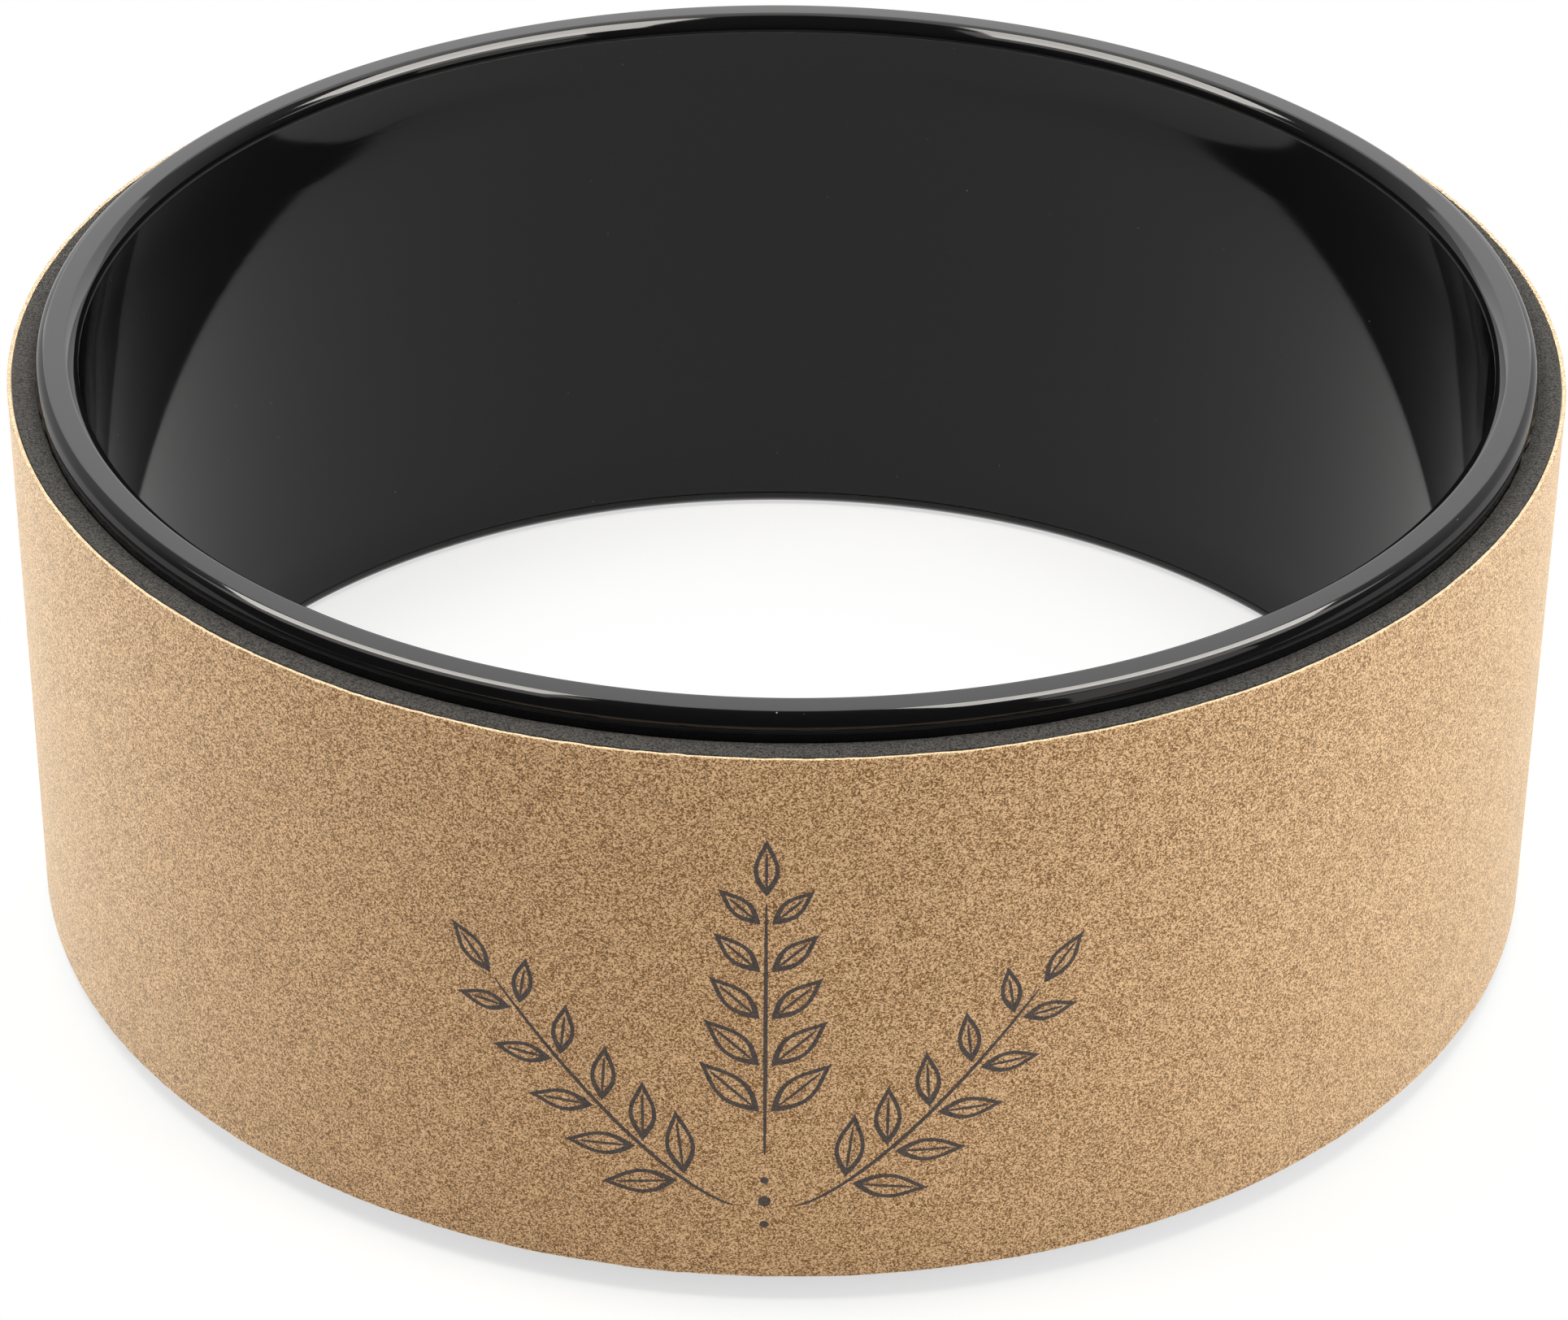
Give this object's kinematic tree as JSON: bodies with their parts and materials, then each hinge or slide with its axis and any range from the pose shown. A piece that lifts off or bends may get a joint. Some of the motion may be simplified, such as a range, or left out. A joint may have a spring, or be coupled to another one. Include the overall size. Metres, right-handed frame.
{
  "type": "yoga wheel",
  "caption": "Yoga wheel: a hollow glossy black plastic ring with rounded rims, wrapped in foam and a thin printed cork sheet, for rolling under the back and for balance poses.",
  "frame": {"origin": "the wheel's centre, on its axis at mid width", "axes": "+Z along the wheel's axis, so the wheel lies flat on its lower rim as in the picture; -Y is the side that carries the print and +Y the side with the butt joint of the covering"},
  "size_m": [0.32, 0.32, 0.13],
  "materials": {
    "core_plastic": "gloss",
    "foam": "matte",
    "cork": "matte",
    "adhesive": "satin"
  },
  "bodies": {
    "root": {"core_drum": "core_plastic", "upper_rim_cap": "core_plastic", "lower_rim_cap": "core_plastic", "foam_film": "adhesive", "foam_wrap": "foam", "cork_film": "adhesive", "cork_wrap": "cork"}
  },
  "joints": []
}
